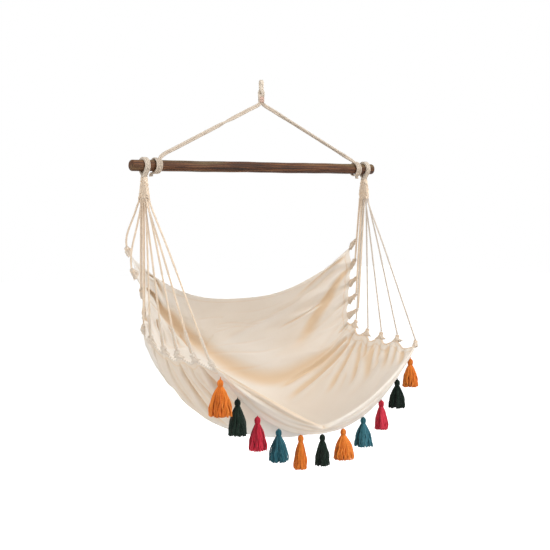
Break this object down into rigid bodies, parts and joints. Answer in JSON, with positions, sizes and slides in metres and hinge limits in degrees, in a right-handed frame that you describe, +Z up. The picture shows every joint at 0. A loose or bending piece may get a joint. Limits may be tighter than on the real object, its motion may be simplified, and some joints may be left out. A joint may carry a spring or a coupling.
{
  "type": "hammock chair",
  "caption": "Hanging hammock chair: a cloth seat slung by fanned cords from a wooden spreader bar on one rope with an eye, with yarn tassels along its front hem.",
  "frame": {"origin": "inside top of the rope eye, where a hook bears", "axes": "+X along the spreader bar to the sitter's left, which is the right of the front view, +Y to the chair's back, +Z up"},
  "size_m": [0.936, 0.6145, 1.1534],
  "materials": {
    "wood": "satin",
    "rope": "matte",
    "cloth": "matte",
    "yarn_orange": "matte",
    "yarn_green": "matte",
    "yarn_red": "matte",
    "yarn_teal": "matte"
  },
  "bodies": {
    "hanger": {"hanger_rope": "rope", "eye_whipping": "rope"},
    "bar": {"spreader_bar": "wood"},
    "seat": {"seat_cloth": "cloth", "left_arm_loop": "rope", "left_clew": "rope", "left_cord_01": "rope", "left_tab_01": "cloth", "left_cord_02": "rope", "left_tab_02": "cloth", "left_cord_03": "rope", "left_tab_03": "cloth", "left_cord_04": "rope", "left_tab_04": "cloth", "left_cord_05": "rope", "left_tab_05": "cloth", "left_cord_06": "rope", "left_tab_06": "cloth", "left_cord_07": "rope", "left_tab_07": "cloth", "left_cord_08": "rope", "left_tab_08": "cloth", "left_cord_09": "rope", "left_tab_09": "cloth", "left_cord_10": "rope", "left_tab_10": "cloth", "right_arm_loop": "rope", "right_clew": "rope", "right_cord_01": "rope", "right_tab_01": "cloth", "right_cord_02": "rope", "right_tab_02": "cloth", "right_cord_03": "rope", "right_tab_03": "cloth", "right_cord_04": "rope", "right_tab_04": "cloth", "right_cord_05": "rope", "right_tab_05": "cloth", "right_cord_06": "rope", "right_tab_06": "cloth", "right_cord_07": "rope", "right_tab_07": "cloth", "right_cord_08": "rope", "right_tab_08": "cloth", "right_cord_09": "rope", "right_tab_09": "cloth", "right_cord_10": "rope", "right_tab_10": "cloth"},
    "tassel_01": {"tassel_01": "yarn_orange"},
    "tassel_02": {"tassel_02": "yarn_green"},
    "tassel_03": {"tassel_03": "yarn_red"},
    "tassel_04": {"tassel_04": "yarn_teal"},
    "tassel_05": {"tassel_05": "yarn_orange"},
    "tassel_06": {"tassel_06": "yarn_green"},
    "tassel_07": {"tassel_07": "yarn_orange"},
    "tassel_08": {"tassel_08": "yarn_teal"},
    "tassel_09": {"tassel_09": "yarn_red"},
    "tassel_10": {"tassel_10": "yarn_green"},
    "tassel_11": {"tassel_11": "yarn_orange"}
  },
  "joints": [
    {"name": "hanger_fold", "type": "hinge", "parent": "hanger", "child": "bar", "pos_m": [0, 0, -0.26], "axis": [1, 0, 0], "range_deg": [-90, 90]},
    {"name": "seat_swing", "type": "hinge", "parent": "bar", "child": "seat", "pos_m": [0, 0, -0.26], "axis": [1, 0, 0], "range_deg": [-35, 35]},
    {"name": "tassel_01_swing", "type": "hinge", "parent": "seat", "child": "tassel_01", "pos_m": [-0.3549, -0.27027, -0.84917], "axis": [1, 0, 0], "range_deg": [-75, 12]},
    {"name": "tassel_02_swing", "type": "hinge", "parent": "seat", "child": "tassel_02", "pos_m": [-0.29697, -0.27235, -0.9115], "axis": [1, 0, 0], "range_deg": [-75, 12]},
    {"name": "tassel_03_swing", "type": "hinge", "parent": "seat", "child": "tassel_03", "pos_m": [-0.22783, -0.27437, -0.97037], "axis": [1, 0, 0], "range_deg": [-75, 12]},
    {"name": "tassel_04_swing", "type": "hinge", "parent": "seat", "child": "tassel_04", "pos_m": [-0.15214, -0.27599, -1.01529], "axis": [1, 0, 0], "range_deg": [-75, 12]},
    {"name": "tassel_05_swing", "type": "hinge", "parent": "seat", "child": "tassel_05", "pos_m": [-0.07065, -0.27706, -1.04217], "axis": [1, 0, 0], "range_deg": [-75, 12]},
    {"name": "tassel_06_swing", "type": "hinge", "parent": "seat", "child": "tassel_06", "pos_m": [0.012, -0.27743, -1.0498], "axis": [1, 0, 0], "range_deg": [-75, 12]},
    {"name": "tassel_07_swing", "type": "hinge", "parent": "seat", "child": "tassel_07", "pos_m": [0.09465, -0.27706, -1.04217], "axis": [1, 0, 0], "range_deg": [-75, 12]},
    {"name": "tassel_08_swing", "type": "hinge", "parent": "seat", "child": "tassel_08", "pos_m": [0.17614, -0.27599, -1.01529], "axis": [1, 0, 0], "range_deg": [-75, 12]},
    {"name": "tassel_09_swing", "type": "hinge", "parent": "seat", "child": "tassel_09", "pos_m": [0.25183, -0.27437, -0.97037], "axis": [1, 0, 0], "range_deg": [-75, 12]},
    {"name": "tassel_10_swing", "type": "hinge", "parent": "seat", "child": "tassel_10", "pos_m": [0.32097, -0.27235, -0.9115], "axis": [1, 0, 0], "range_deg": [-75, 12]},
    {"name": "tassel_11_swing", "type": "hinge", "parent": "seat", "child": "tassel_11", "pos_m": [0.3789, -0.27027, -0.84917], "axis": [1, 0, 0], "range_deg": [-75, 12]}
  ]
}
